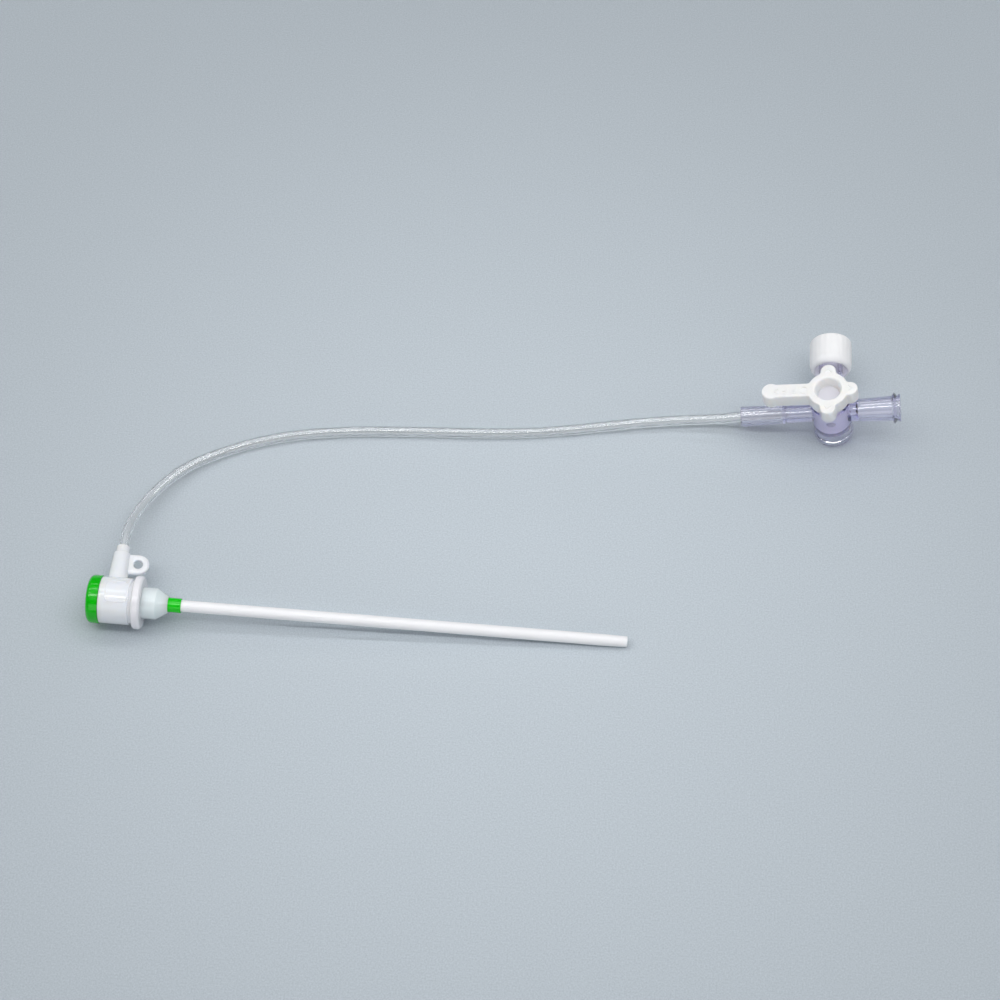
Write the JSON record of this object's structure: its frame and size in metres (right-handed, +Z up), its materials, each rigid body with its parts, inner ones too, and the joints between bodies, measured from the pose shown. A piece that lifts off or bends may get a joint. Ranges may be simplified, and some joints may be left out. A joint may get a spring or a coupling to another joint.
{
  "type": "vascular introducer sheath",
  "caption": "Introducer sheath with a valved hub, a suture eyelet, a clear side tube, and a stopcock with a turning handle and a luer cap, lying as on a table.",
  "frame": {"origin": "on the table, under the middle of the object's bounding box without the side tube", "axes": "+X along the cannula from the hub to the tip, +Y from the hub towards the side tube, +Z up"},
  "size_m": [0.195, 0.0904, 0.0213],
  "materials": {
    "cap_green": "glossy green moulding",
    "hub_milky": "glossy milky translucent moulding",
    "valve_silicone": "matte silicone",
    "collar_white": "satin white moulding",
    "nose_frosted": "frosted translucent moulding",
    "cannula_white": "smooth satin extrusion",
    "band_green": "glossy green sleeve",
    "tube_clear": "clear flexible tube",
    "stopcock_tinted": "clear moulding with a purple tint",
    "handle_white": "satin white moulding",
    "luer_white": "satin white moulding"
  },
  "bodies": {
    "sheath": {"hub_body": "hub_milky", "valve_cap": "cap_green", "hemostasis_valve": "valve_silicone", "front_collar": "collar_white", "strain_relief": "nose_frosted", "cannula": "cannula_white", "colour_band": "band_green", "side_tube": "tube_clear", "stopcock_body": "stopcock_tinted"},
    "handle": {"stopcock_handle": "handle_white"},
    "port_cap": {"luer_cap": "luer_white"}
  },
  "joints": [
    {"name": "handle_turn", "type": "hinge", "parent": "sheath", "child": "handle", "pos_m": [0.07986, 0.02449, 0.00956], "axis": [-0.2215, 0.0015, 0.9751], "continuous": true},
    {"name": "cap_off", "type": "slide", "parent": "sheath", "child": "port_cap", "axis": [0.007, 1, 0], "range_m": [0, 0.012]}
  ]
}
